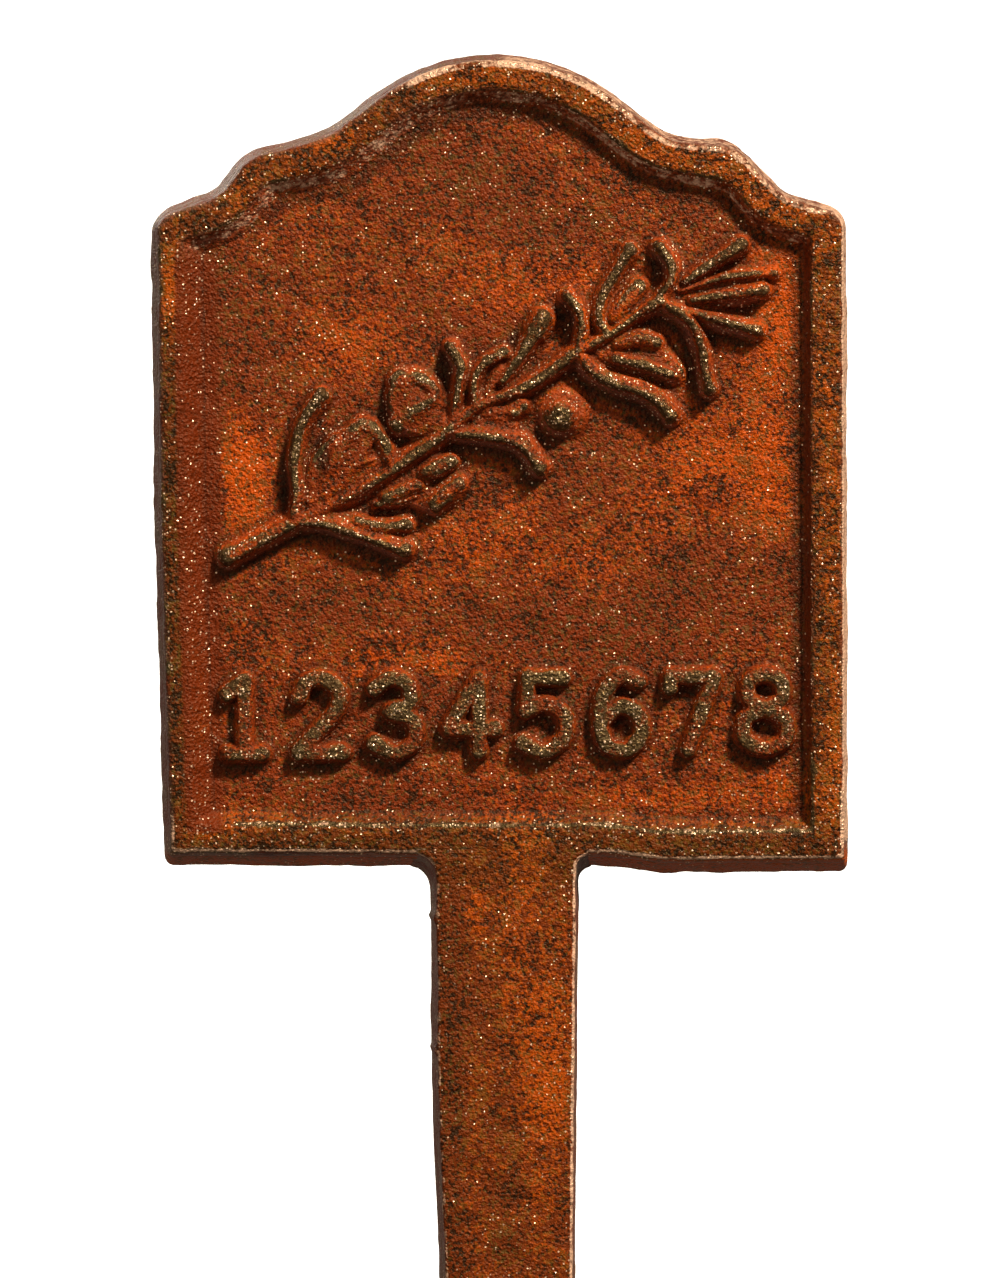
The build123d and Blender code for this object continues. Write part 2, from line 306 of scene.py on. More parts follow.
class Ridge:
    """A raised stroke on the web: a line, its half width along it, and its heights at the left side, the middle and
    the right side, each given at evenly spread places along it. All in millimetres."""

    def __init__(self, points, half_width, left, middle, right, wall=0.7, straight=False):
        self.share = np.linspace(0, 1, 48)
        self.line = curve_through([place(*point) for point in points], len(self.share), straight)
        self.half_width = self.spread(half_width) * STEP
        self.left, self.middle, self.right = self.spread(left), self.spread(middle), self.spread(right)
        self.wall = wall
        reach = self.half_width.max() + 1.6
        self.low, self.high = self.line.min(axis=0) - reach, self.line.max(axis=0) + reach

    def spread(self, values):
        """Values given at evenly spread places, blended between them."""
        values = np.atleast_1d(np.asarray(values, dtype=float))
        if len(values) == 1:
            return np.repeat(values, len(self.share))
        return np.interp(self.share, np.linspace(0, 1, len(values)), values)

    def height(self, spots):
        """At each spot: its nearest place on the line gives the half width w and the heights, and its distance d
        from the line, signed by side, gives u = d / w. The top is the curve through the three heights at u = 1, 0
        and -1. Past the edge a drafted wall runs down to nothing over the wall's width: with t from 0 at its foot to
        1 just inside the edge, the height is multiplied by 0.55 t + 0.45 (3t^2 - 2t^3)."""
        value = np.zeros(len(spots))
        near = np.all((spots > self.low) & (spots < self.high), axis=1)
        if not near.any():
            return value
        spot = spots[near][:, None, :]
        start, run = self.line[:-1], np.diff(self.line, axis=0)
        t = np.clip(np.sum((spot - start) * run, axis=2) / np.sum(run * run, axis=1), 0, 1)
        gap = spot - (start + t[..., None] * run)
        distance = np.linalg.norm(gap, axis=2)
        best = distance.argmin(axis=1)
        rows = np.arange(len(best))
        share = (best + t[rows, best]) / len(run)
        side = np.where(run[best, 0] * gap[rows, best, 1] > run[best, 1] * gap[rows, best, 0], 1, -1)
        distance = distance[rows, best]
        width = np.interp(share, self.share, self.half_width)
        left, middle, right = (np.interp(share, self.share, v) for v in (self.left, self.middle, self.right))
        u = np.clip(side * distance / width, -1.1, 1.1)
        top = middle + (left - right) / 2 * u + ((left + right) / 2 - middle) * u * u
        t = np.clip((width - distance + self.wall) / (self.wall + 0.22), 0, 1)
        value[near] = top * (0.55 * t + 0.45 * t * t * (3 - 2 * t))
        return value


def bud(across, down, radius, height, wall=0.8):
    """A round bud: a short stroke whose middle stands above its sides."""
    return [(across - 0.6, down), (across + 0.6, down)], radius, height * 0.45, height, height * 0.45, wall


# Each part of the sprig: strokes as places, half width in grid steps, heights at the left, middle and right, wall
STROKES = {
    "sprig_stem": [
        ([(229, 550), (260, 534), (291, 518)], [7, 6, 6], 1.9, [2.1, 2.1, 2.2], 2.1, 1.1),
        ([(291, 518), (330, 500), (380, 473), (420, 446), (447, 426)], [6, 6, 5, 6, 7],
         [1.8, 1.5, 1.7, 1.8, 1.8], [2.2, 1.8, 1.9, 2.2, 2.3], [1.9, 1.5, 1.7, 1.9, 1.9], 1.1),
        ([(447, 426), (480, 402), (523, 386), (548, 370), (575, 350)], [7, 5, 5, 5, 6],
         1.9, [2.3, 2.1, 2.1, 2.2, 2.3], 1.9, 0.9),
        ([(577, 349), (606, 335), (642, 310), (658, 302)], [6, 5, 4.5, 7], 1.9, [2.3, 2.2, 2.2, 2.4], 1.8, 0.9),
    ],
    "left_leaf": [
        ([(296, 510), (299, 490), (296, 455), (303, 422), (322, 393)], [6, 6, 5, 5, 6],
         [2.3, 2.4, 2.4, 2.3, 2], [2.2, 2.2, 2.1, 2.1, 2], [1.7, 1.6, 1.5, 1.5, 1.5], 0.8),
    ],
    "round_leaf": [
        ([(312, 494), (334, 462), (356, 438), (366, 428)], [12, 22, 22, 13], [1.2, 1.4, 1.6, 1.6],
         [1.8, 1.8, 1.9, 1.9], [1.5, 1.6, 1.8, 1.8], 0.6),
        ([(362, 422), (374, 430), (384, 444), (388, 458)], [7, 8, 7, 5], 1.6, [2.1, 2.2, 2.1, 1.8], 1.6, 0.8),
        ([(322, 482), (332, 460), (344, 440), (356, 426)], [6, 9, 10, 8], 1.4, [1.9, 2.2, 2.3, 2.3], 1.5, 0.7),
        ([(346, 470), (358, 461), (374, 455)], [3, 4, 3], 1.4, [1.8, 2, 1.8], 1.4, 0.5),
        ([(350, 484), (370, 464), (378, 452)], [11, 15, 11], 1.3, 1.5, 1.2),
    ],
    "middle_leaf": [
        ([(436, 424), (418, 410), (404, 392), (401, 380)], [14, 24, 22, 12], [1.4, 1.5, 1.6, 1.7],
         2, 1.8, 0.7),
        ([(398, 380), (414, 376), (430, 386), (438, 402)], [6, 7, 7, 5], 1.6, [2, 2.2, 2.2, 2], 1.7, 1),
        ([(398, 420), (412, 408), (430, 398)], [9, 13, 9], 1.7, [2.2, 2.4, 2.4], 1.7, 0.9),
    ],
    "lower_leaf": [
        ([(300, 514), (324, 514), (349, 521), (376, 530), (402, 543)], [6, 7, 8, 8, 6],
         [1.5, 1.2, 1.1, 1.2, 1.7], [2, 1.8, 1.8, 1.9, 2.1], [2.2, 2.4, 2.4, 2.5, 2.2], 1.1),
        ([(356, 517), (380, 523), (404, 521)], [5, 7, 6], 1.5, [1.9, 2.1, 1.9], 1.5),
    ],
    "hanging_leaf": [
        ([(581, 356), (591, 368), (607, 377), (636, 386), (656, 398), (668, 413)], [6, 6, 7, 7, 6, 6],
         [1.4, 1.5, 1.5, 1.5, 1.6, 1.6], 2.1, [2.2, 2.4, 2.4, 2.4, 2.4, 2.1], 1.1),
    ],
    "under_leaf": [
        ([(456, 428), (480, 430), (500, 433), (518, 439), (530, 451), (538, 464)], [6, 6, 7, 7, 6, 6],
         1.5, 2.1, 2.2, 1),
        ([(478, 418), (506, 424)], [10, 9], 1.3, 1.4, 1.3),
    ],
    "upright_blade": [
        ([(452, 424), (455, 404), (459, 384), (461, 366), (451, 346)], [6, 5, 4.5, 4.5, 4],
         [2.3, 2.4, 2.4, 2.4, 2.1], 2.2, 1.6, 1),
    ],
    "narrow_blade": [
        ([(474, 402), (474, 376), (484, 362), (503, 353)], 5, 1.9, [2.1, 2.1, 2, 1.8], 1.6, 0.8),
        ([(486, 392), (492, 378), (500, 366)], [5, 6, 4], 1.3, 1.6, 1.3),
    ],
    "high_blade": [
        ([(578, 348), (581, 332), (579, 313), (566, 296)], [6, 5, 5, 4], [2.3, 2.4, 2.4, 2], 2.2, 1.7, 1),
    ],
    "long_blade": [
        ([(604, 334), (597, 316), (601, 297), (614, 273), (627, 252)], [5, 6, 5, 5, 6],
         2, [2.2, 2.2, 2.2, 2.3, 2.2], 1.7, 0.8),
        ([(612, 316), (626, 300), (636, 288)], [9, 10, 7], 1.4, [1.8, 1.9, 1.6], 1.4, 0.8),
    ],
    "top_blade": [
        ([(659, 300), (669, 283), (669, 266), (658, 248)], [6, 5, 5, 4], [2.3, 2.4, 2.4, 2.1], 2.1, 1.5, 1.1),
    ],
    "side_blade": [
        ([(600, 348), (640, 354), (672, 372)], [12, 18, 8], 1, 1.2, 1, 0.9),
        ([(614, 357), (640, 364), (666, 373)], [6, 6, 5], [1.6, 1.8, 1.8], [2.1, 2.2, 2], 2, 0.6),
    ],
    "flower_head": [
        ([(668, 298), (704, 298), (736, 292)], [12, 16, 14], 0.7, 1.1, 0.7, 0.8),
        ([(683, 282), (710, 264), (737, 247)], [4, 5, 7], 1.8, [2.1, 2.2, 2.4], 1.8),
        ([(677, 292), (722, 279), (770, 275)], [3, 4, 4], 1.3, [1.7, 1.8, 1.7], 1.3, 0.8),
        ([(688, 301), (722, 296), (758, 291)], [4, 6, 7.5], 1.8, [2.1, 2.2, 2.4], 1.8),
        ([(668, 306), (713, 320), (753, 331)], [4, 4.5, 4], 1.7, [2.1, 2.1, 1.9], 1.9, 1.1),
        ([(660, 304), (687, 322), (697, 346), (702, 374), (706, 389)], 5, 1.9, 2.3, 1.9, 0.9),
    ],
    "club_bud": [
        ([(501, 379), (519, 353), (534, 330)], [4, 5, 7], 1.9, [2, 2.2, 2.3], 1.9, 0.8),
        ([(534, 330), (541, 318)], 9, 1.9, [2.3, 2.5], 1.9, 0.8),
    ],
    "ball_bud": [
        bud(561, 409, 24, 1.2, 0.8),
        bud(558, 414, 17, 2.7, 0.9),
    ],
    "knob_bud": [
        bud(511, 410, 9, 2),
        ([(486, 410), (500, 412), (518, 404)], [8, 9, 8], 1.4, 1.6, 1.3),
    ],
    "side_bud": [([(616, 343), (636, 339), (652, 343)], [7, 9, 7], 1.4, [1.8, 2.1, 1.9], 1.4, 0.8)],
    "low_buds": [
        ([(396, 476), (412, 484), (424, 494)], [14, 20, 12], 0.8, 0.9, 0.8),
        ([(386, 494), (402, 487), (416, 482)], [6, 7, 6], 1.7, [1.9, 2.1, 1.9], 1.6),
        ([(434, 499), (445, 490), (455, 481)], [8, 9, 7], 1.7, [2, 2.2, 2.1], 1.7, 0.9),
        ([(424, 468), (438, 463), (448, 459)], [6, 9, 7], 1.7, [1.9, 2.2, 2], 1.7),
        ([(376, 500), (396, 498), (414, 492)], [3, 4, 3], 1.2, 1.5, 1.2, 0.5),
    ],
}
SPRIG = {name: [Ridge(*stroke) for stroke in strokes] for name, strokes in STROKES.items()}

# Plain numerals: strokes in hundredths of their box, across and up, straight or curved
NUMERALS = [
    [([(22, 80), (52, 98), (52, 0)], True), ([(22, 0), (82, 0)], True)],
    [([(12, 76), (28, 96), (56, 99), (82, 84), (80, 62), (46, 30), (12, 2)], False),
     ([(12, 0), (88, 0)], True)],
    [([(14, 86), (40, 99), (72, 92), (76, 68), (42, 54)], False),
     ([(42, 54), (80, 44), (84, 15), (50, 0), (12, 12)], False)],
    [([(66, 0), (66, 98), (10, 30), (94, 30)], True)],
    [([(82, 98), (22, 98), (18, 55)], True),
     ([(18, 55), (50, 63), (82, 50), (84, 18), (52, 0), (12, 10)], False)],
    [([(80, 92), (52, 99), (22, 78), (14, 38), (28, 5), (60, 0), (86, 20), (78, 50),
       (50, 58), (18, 40)], False)],
    [([(10, 84), (10, 98), (88, 98), (42, 0)], True)],
    [([(50, 54), (22, 66), (22, 90), (50, 99), (78, 90), (78, 66), (50, 54)], False),
     ([(50, 54), (15, 40), (15, 12), (50, 0), (85, 12), (85, 40), (50, 54)], False)],
]
NUMERAL_LEFTS = [214, 290, 364, 438, 512, 588, 660, 732]
NUMERAL_WIDTH, NUMERAL_TOP, NUMERAL_FOOT = 56, 672, 746
# A numeral's strokes: half width in grid steps, heights at the left, middle and right, wall
NUMERAL_STROKE = (7.6, 1.5, 1.55, 1.5, 0.5)


def numeral_ridges(strokes, left):
    """The raised strokes of one numeral."""
    wide, tall = NUMERAL_WIDTH / 100, (NUMERAL_FOOT - NUMERAL_TOP) / 100
    return [Ridge([(left + x * wide, NUMERAL_FOOT - z * tall) for x, z in points], *NUMERAL_STROKE, straight)
            for points, straight in strokes]


FIGURES = [numeral_ridges(strokes, left) for strokes, left in zip(NUMERALS, NUMERAL_LEFTS)]
ALL_RIDGES = sum([*SPRIG.values(), *FIGURES], [])


def relief(x, z):
    """The height of the whole relief above the web: the highest stroke at each spot, and where two are nearly as
    high, a fillet between them of (r - difference)^2 / 4r."""
    spots = np.stack([np.ravel(x), np.ravel(z)], axis=1)
    total = np.zeros(len(spots))
    for ridge in ALL_RIDGES:
        other = ridge.height(spots)
        radius = 0.3 * np.clip(np.minimum(total, other) / 0.6, 0.001, 1)
        total = np.maximum(total, other) + np.maximum(radius - np.abs(total - other), 0) ** 2 / (4 * radius)
    return np.minimum(total, 2.5).reshape(np.shape(x))


# Patches on the drawing's grid: across, down, half wide, half high, how much
# Where rust has bloomed orange (above 0) or stayed dark (below 0)
BLOOMS = [
    (245, 470, 30, 62, 1.2), (300, 600, 60, 20, -0.4), (350, 350, 60, 40, 0.4), (610, 135, 60, 24, 0.2),
    (770, 300, 26, 60, 1.0), (765, 470, 28, 70, 0.5), (640, 795, 120, 14, 0.4), (770, 790, 40, 24, 0.5),
    (700, 440, 50, 50, 0.4), (460, 190, 70, 40, -0.4), (212, 280, 22, 60, -0.9), (208, 470, 12, 110, -1.3),
    (215, 620, 18, 90, -0.4), (520, 620, 90, 30, -0.5), (400, 800, 90, 12, -0.3), (560, 560, 60, 40, 0.3),
    (540, 300, 60, 50, 0.5), (420, 660, 60, 20, 0.4), (660, 600, 40, 40, -0.3), (203, 640, 10, 200, 0.5),
    (500, 690, 260, 16, -0.2), (560, 230, 60, 20, -0.4), (172, 600, 10, 190, -1.4), (826, 470, 14, 170, 0.3),
    (830, 760, 12, 60, 0.5), (280, 842, 110, 10, -1.8), (710, 844, 110, 10, -0.5), (176, 300, 10, 40, 0.8),
    (480, 82, 60, 14, 0.3), (330, 140, 40, 14, 0.7), (470, 900, 12, 30, 0.5), (520, 870, 30, 40, 0.4),
    (444, 1060, 9, 190, -1.3), (500, 1186, 14, 12, -1.5), (497, 1240, 12, 12, -1.4), (446, 1254, 12, 16, -1.0),
    (540, 1100, 26, 80, 0.6),
]
# Painted shadows beside the leaves, where their shade falls
PAINTED_SHADOWS = [
    (564, 318, 8, 22, 0.9), (442, 369, 7, 20, 0.9), (385, 408, 5, 17, 0.8), (512, 336, 6, 11, 0.7),
    (322, 452, 8, 20, 1.0), (656, 275, 6, 18, 0.8), (508, 479, 28, 7, 0.6), (640, 420, 26, 6, 0.5),
    (371, 566, 24, 5, 0.5), (286, 482, 6, 24, 0.5), (690, 372, 5, 22, 0.5),
]
# Places rich in painted glints, bright specks that stand in for highlights
PAINTED_GLINT_PLACES = [
    (350, 440, 30, 30, 0.9), (306, 488, 14, 24, 1.0), (215, 822, 34, 8, 1.2), (300, 826, 60, 5, 0.8),
    (199, 290, 10, 34, 0.8), (197, 580, 8, 60, 0.9), (200, 690, 8, 60, 0.6), (414, 376, 22, 12, 0.7),
    (480, 376, 26, 22, 0.7), (400, 540, 20, 8, 0.8), (620, 380, 40, 14, 0.6), (690, 262, 20, 20, 0.6),
    (720, 290, 30, 20, 0.5), (500, 434, 30, 8, 0.6), (245, 665, 14, 8, 0.8), (500, 760, 260, 50, 0.25),
    (270, 420, 40, 120, 0.3), (590, 310, 20, 24, 0.6),
]


def patches(table, x, z, power=1):
    """The sum of a table's soft patches at each spot. With d the distance from a patch's middle, as a share of its
    half width and half height, each falls by exp(-d^2), or by exp(-d^4) for a sharper edge where the power is 2."""
    total = 0.0
    for across, down, wide, high, much in table:
        middle = place(across, down)
        far = ((x - middle[0]) / (wide * STEP)) ** 2 + ((z - middle[1]) / (high * STEP)) ** 2
        total = total + much * np.exp(-far**power)
    return total


def relief_marks(x, z, height, worn_from):
    """Marks on the relief, from its heights 0.95 mm to the four sides of each spot. Wear is where a spot stands
    above their mean or above the height that is worn from. Wall is how steep it is there, and sheltered how far it
    faces down and left, away from the light; the walls' colour from these two is painted light. Painted shade is
    where it lies below their mean, in the lee of such a wall, behind a stroke to its upper right or in one of the
    painted shadows. Aged is how old the rust is."""
    reach = 0.95
    right, left, above, below = (relief(x + a * reach, z + b * reach) for a, b in ((1, 0), (-1, 0), (0, 1), (0, -1)))
    rise = height - (right + left + above + below) / 4
    lee = ramp((right - left) * 0.5 + (above - below) * 0.86 - 0.5, 1.6)
    steep = np.hypot(right - left, above - below) / (2 * reach)
    behind = np.clip(relief(x + 0.95, z + 1.6) - height - 0.8, 0, 1)
    sunk = np.clip((-rise - 0.05) / 0.45, 0, 0.6) * (1 - 0.5 * lee)
    shaded = np.maximum(0.45 * lee, 0.55 * behind) * np.clip(1 - height / 0.7, 0, 1)
    return {
        "wear": np.clip(np.maximum((rise - 0.05) / 0.5, (height - worn_from) / 0.25), 0, 1),
        "hollow": np.clip(sunk + shaded + patches(PAINTED_SHADOWS, x, z, 2), 0, 1),
        "wall": ramp(steep - 0.3, 0.5) * ramp(height, 0.4) * (rise < 0.25),
        "sheltered": lee,
        "painted_glint_spots": patches(PAINTED_GLINT_PLACES, x, z),
        "bloom": patches(BLOOMS, x, z),
        "aged": 0.25 + 0 * x,
    }


def closed_under(front, under):
    """Closes a sheet of spots into rings: each row goes on through two points below its ends, and a copy of the
    first and of the last row is laid flat at the under level."""
    lower = front[:, [-1, 0]].copy()
    lower[..., 1] = under
    rings = np.concatenate([front, lower], axis=1)
    ends = rings[[0, -1]].copy()
    ends[..., 1] = under
    return np.concatenate([ends[:1], rings, ends[1:]])


def rim_shade(x, z):
    """How deep a spot of the web lies in the shade that the rim casts at its foot, along the top and down the right:
    full at the foot of the slope, and gone 1.7 mm below it or 0.9 mm left of it."""
    foot = DRAFT + RIM_FACE + RIM_SLOPE + 0.4
    below = outline_top(x, foot) - z
    aside = HALF_WIDTH - foot - x
    return 0.68 * np.maximum(ramp(1.7 - below, 0.6) * ramp(x + 30, 4),
                             ramp(0.9 - aside, 0.5))


def deep_at(x, z):
    """How deep and even the rust is down the left of the recess: full left of x = -32.6 mm, below the shoulder."""
    return ramp(-31.7 - x, 0.9) * ramp(270 - z, 4)


def raised_sheet(x, z, edge_fade, web=False, worn_from=2.15):
    """A closed sheet over spots of the web: its front is the relief plus the sand-cast skin, sunk at its edge."""
    height = relief(x, z)
    marks = relief_marks(x, z, height, worn_from)
    if web:
        height = 0.22 * (1 - np.exp(-height / 0.22))
        marks["hollow"] = np.maximum(marks["hollow"], rim_shade(x, z))
        marks["deep"] = deep_at(x, z)
    ground = np.stack([x, np.full(x.shape, -WEB), z], axis=-1)
    y = -(WEB + height) + skin_depth(ground) - 0.12 + 0.2 * edge_fade
    rings = closed_under(np.stack([x, y, z], axis=-1), -WEB + 0.6)
    marks = {key: np.pad(value, ((1, 1), (0, 2))) for key, value in marks.items()}
    return rings, marks, False


def along_ridge(ridge, spacing=0.2):
    """The sheet that one stroke carries: rows across its line, each as wide as the stroke plus its foot, and round
    past both ends."""
    reach = ridge.wall + 0.35
    first, last = ridge.half_width[0] + reach, ridge.half_width[-1] + reach
    run = lengths(ridge.line)
    whole = run[-1] + first + last
    rows = max(14, int(whole / spacing))
    along = whole * (1 - np.cos(np.linspace(0, np.pi, rows))) / 2 * 0.35 + whole * np.linspace(0, 1, rows) * 0.65
    inside = np.clip(along - first, 0, run[-1])
    centre = pick(inside, run, ridge.line)
    heading = pick(inside, run, np.gradient(ridge.line, axis=0))
    heading /= np.linalg.norm(heading, axis=1)[:, None]
    centre = centre + heading * (along - first - inside)[:, None]
    before, beyond = np.clip(1 - along / first, 0, 1), np.clip(1 - (whole - along) / last, 0, 1)
    half = (np.interp(inside, run, ridge.half_width) + reach) * np.sqrt(np.clip(1 - before**2 - beyond**2, 0.0004, 1))
    columns = max(10, int(2 * (ridge.half_width.max() + reach) / spacing))
    across = np.linspace(-1, 1, columns)[None, :]
    x = centre[:, :1] - heading[:, 1:] * half[:, None] * across
    z = centre[:, 1:] + heading[:, :1] * half[:, None] * across
    edge = np.maximum(np.abs(across), 1 - np.minimum(along, whole - along)[:, None] / min(first, last))
    fade = ramp(edge - 0.86, 0.14)
    return raised_sheet(x, z, fade)


# ---------------- finishes
def srgb(red, green, blue):
    """A colour as a screen shows it, 0 to 255, turned into the linear colour that a shader takes."""
    value = np.array([red, green, blue]) / 255
    linear = np.where(value <= 0.04045, value / 12.92, ((value + 0.055) / 1.055) ** 2.4)
    return (*linear.tolist(), 1.0)


class Wire:
    """A socket of numbers whose arithmetic adds Math nodes."""

    def __init__(self, finish, socket):
        self.finish, self.socket = finish, socket

    def maths(self, operation, first, second):
        return self.finish.add("ShaderNodeMath", {"operation": operation}, {0: first, 1: second})

    def __add__(self, other):
        return self.maths("ADD", self, other)

    def __mul__(self, other):
        return self.maths("MULTIPLY", self, other)

    def __sub__(self, other):
        return self.maths("SUBTRACT", self, other)

    def __rsub__(self, other):
        return self.maths("SUBTRACT", other, self)


class Finish:
    """A material built up from named steps, on Object coordinates in metres."""

    def __init__(self, name):
        self.material = bpy.data.materials.new(name)
        self.material.use_nodes = True
        self.tree = self.material.node_tree
        self.shader = self.tree.nodes["Principled BSDF"]
        self.place = self.add("ShaderNodeTexCoord", {}, {}, "Object")

    def add(self, kind, settings, inputs, output=0):
        """Adds a node: its settings first, then the values or wires of its sockets."""
        node = self.tree.nodes.new(kind)
        for key, value in settings.items():
            setattr(node, key, value)
        for key, value in inputs.items():
            self.join(value, node.inputs[key])
        return Wire(self, node.outputs[output])

    def join(self, value, socket):
        """Links a wire to a socket, or sets the socket's own value."""
        if isinstance(value, Wire):
            self.tree.links.new(value.socket, socket)
        else:
            socket.default_value = value

    def noise(self, size, detail, roughness, distortion=0.0, place=None):
        """Noise whose lumps are of a size in millimetres."""
        inputs = {"Vector": place or self.place, "Scale": 1 / (size * MM), "Detail": detail, "Roughness": roughness,
                  "Distortion": distortion}
        return self.add("ShaderNodeTexNoise", {}, inputs)

    def cells(self, size):
        """Distance to the nearest of scattered grains of a size in millimetres."""
        return self.add("ShaderNodeTexVoronoi", {}, {"Vector": self.place, "Scale": 1 / (size * MM)}, "Distance")

    def chance(self, size):
        """A random value of each scattered grain's own."""
        grains = self.add("ShaderNodeTexVoronoi", {}, {"Vector": self.place, "Scale": 1 / (size * MM)}, "Color")
        return self.add("ShaderNodeSeparateColor", {}, {"Color": grains})

    def mark(self, name):
        """A value kept on the piece's points."""
        return self.add("ShaderNodeAttribute", {"attribute_name": name}, {}, "Fac")

    def step(self, value, low, high, to_low=0.0, to_high=1.0):
        """A value taken smoothly from one range to another, and held at its ends."""
        inputs = {"Value": value, "From Min": low, "From Max": high, "To Min": to_low, "To Max": to_high}
        return self.add("ShaderNodeMapRange", {"interpolation_type": "SMOOTHSTEP"}, inputs)

    def blend(self, factor, first, second):
        """One colour over another by a factor."""
        return self.add("ShaderNodeMix", {"data_type": "RGBA"}, {0: factor, 6: first, 7: second}, 2)

    def top(self, first, second):
        """The larger of two values."""
        return first.maths("MAXIMUM", first, second)


RUST, AGED_RUST = srgb(118, 40, 10), srgb(94, 38, 4)
ORANGE, AGED_ORANGE = srgb(180, 66, 0), srgb(162, 68, 0)
PIT, AGED_PIT = srgb(36, 18, 5), srgb(20, 13, 3)
OLIVE, AGED_OLIVE = srgb(72, 54, 20), srgb(86, 60, 16)
METAL, LIT_METAL = srgb(70, 58, 35), srgb(138, 116, 80)
PAINTED_LIT_WALL, PAINTED_SHADED_WALL = srgb(166, 66, 24), srgb(142, 88, 72)
FLANK, PALE_FLANK = srgb(106, 49, 33), srgb(118, 87, 72)
DEEP_RUST_AND_SHADE, PAINTED_SHADE_COLOUR = srgb(98, 30, 2), srgb(26, 9, 4)
CREAM, PAINTED_GLINT = srgb(208, 163, 133), srgb(255, 214, 176)


def rusted_iron(name, blooms=0.0, olives=0.0, pits=0.0, glints=0.03):
    """Sand-cast iron under a brown and orange rust. Over the red-brown ground lie blooms and specks of orange, dark
    pits, olive-grey grains and scattered painted glints, bright specks that stand in for highlights. Aged rust is
    more golden and olive, and deep rust is dark and even; on the rim's right slope its colour is painted shade.
    Walls carry painted light: orange where they face the lamp, a pale painted reflection where they face away.
    Sides show a bare, streaked flank, which on the rim's shaded inner slopes is painted shade. Painted shade darkens
    recesses, the lee of strokes and the rim's cast shadow. Ridges are worn to bare metal. Cream is a pale scrape,
    and painted light on the lit outer wall and the rim's shaded slope. Blooms, olives and pits raise or lower how
    much of the ground each covers; glints is the share of painted glints."""
    finish = Finish(name)
    wear, hollow = finish.mark("wear"), finish.mark("hollow")
    bloomed, aged, wall = finish.mark("bloom"), finish.mark("aged"), finish.mark("wall")
    side, cream, sheltered = finish.mark("side"), finish.mark("cream"), finish.mark("sheltered")
    deep = finish.mark("deep")
    broad = finish.noise(15, 2, 0.5, 0.5)
    patch = finish.noise(4.4, 3, 0.6, 0.3)
    fine = finish.noise(1.0, 2, 0.6)
    grain = finish.noise(0.42, 2, 0.6)
    speckle = finish.noise(0.55, 2, 0.6, 0.4)
    grit = finish.cells(0.36)
    stretched = finish.add("ShaderNodeVectorMath", {"operation": "MULTIPLY"}, {0: finish.place, 1: (0.12, 1, 0.12)})
    streak = finish.noise(0.5, 3, 0.6, place=stretched)
    spread = broad * 0.22 + patch * 0.28 + fine * 0.20 + speckle * 0.50 + bloomed * 0.16
    bloom = finish.step(spread, 0.60 - blooms, 0.71 - blooms)
    colour = finish.blend(bloom, finish.blend(aged, RUST, AGED_RUST), finish.blend(aged, ORANGE, AGED_ORANGE))
    # Painted light on walls: orange where they face the lamp, a pale painted reflection where they face away
    colour = finish.blend(wall * 0.55, colour, finish.blend(sheltered, PAINTED_LIT_WALL, PAINTED_SHADED_WALL))
    # The flank: its own streaked colour outside, and painted shade on the rim's shaded inner slopes
    flank = finish.blend(finish.step(streak + patch * 0.5, 0.66, 0.86), FLANK, PALE_FLANK)
    colour = finish.blend(side * finish.step(streak * 0.7 + fine * 0.4, 0.36, 0.58, 0.55, 1.0), colour, flank)
    pit = finish.step(grain * 0.45 + speckle * 0.3 + patch * 0.25 + bloomed * 0.03, 0.48 + pits, 0.41 + pits)
    pit = pit * (1 - finish.top(side * 0.75, wall * 0.4))
    colour = finish.blend(pit * 0.9, colour, finish.blend(aged, PIT, AGED_PIT))
    grains = finish.step(speckle * 0.5 + fine * 0.2 + patch * 0.3 - grain * 0.35, 0.36 - olives, 0.40 - olives)
    colour = finish.blend(grains * 0.7, colour, finish.blend(aged, OLIVE, AGED_OLIVE))
    # Deep, even rust down the left of the recess; on the rim's right slope the same colour is painted shade
    colour = finish.blend(deep * finish.step(speckle, 0.36, 0.5, 0.5, 0.92), colour, DEEP_RUST_AND_SHADE)
    # Painted shade: recesses, the lee of strokes, the painted shadows and the rim's cast shadow go dark
    colour = finish.blend(hollow * 0.85, colour, PAINTED_SHADE_COLOUR)
    worn = finish.step(wear * 0.6 + grain * 0.8 + fine * 0.5 + patch * 1.2, 1.56, 1.78)
    lit = finish.step(speckle + wear * 0.12 + patch * 0.2, 0.73, 0.94)
    colour = finish.blend(worn * 0.9, colour, finish.blend(lit, METAL, LIT_METAL))
    scraped = finish.step(cream + streak * 0.3 + fine * 0.9 + patch * 0.5 + speckle * 0.7, 1.75, 2.13)
    colour = finish.blend(scraped, colour, CREAM)
    # Painted glints: bright specks standing in for highlights, more on worn ridges, walls and glinting places
    chance = finish.chance(0.30) + wear * 0.20 + wall * 0.16 + patch * 0.40 + finish.mark("painted_glint_spots") * 0.13
    painted_glint = finish.step(chance, 1.20 - glints, 1.22 - glints) * finish.step(finish.cells(0.30), 0.42, 0.28)
    colour = finish.blend(painted_glint * 0.9, colour, PAINTED_GLINT)
    finish.join(colour, finish.shader.inputs["Base Color"])
    shine = finish.top(worn * 0.5, painted_glint * 0.6)
    finish.join(shine, finish.shader.inputs["Metallic"])
    finish.join(finish.step(shine, 0.0, 0.6, 0.46, 0.30), finish.shader.inputs["Roughness"])
    finish.shader.inputs["Specular IOR Level"].default_value = 0.2
    finish.shader.inputs["Specular Tint"].default_value = (1, 0.78, 0.5, 1)
    height = grain * 1.2 + fine * 0.4 + grit * 0.5
    bump = finish.add("ShaderNodeBump", {}, {"Strength": 1.0, "Distance": 0.00026, "Height": height})
    finish.join(bump, finish.shader.inputs["Normal"])
    return finish.material


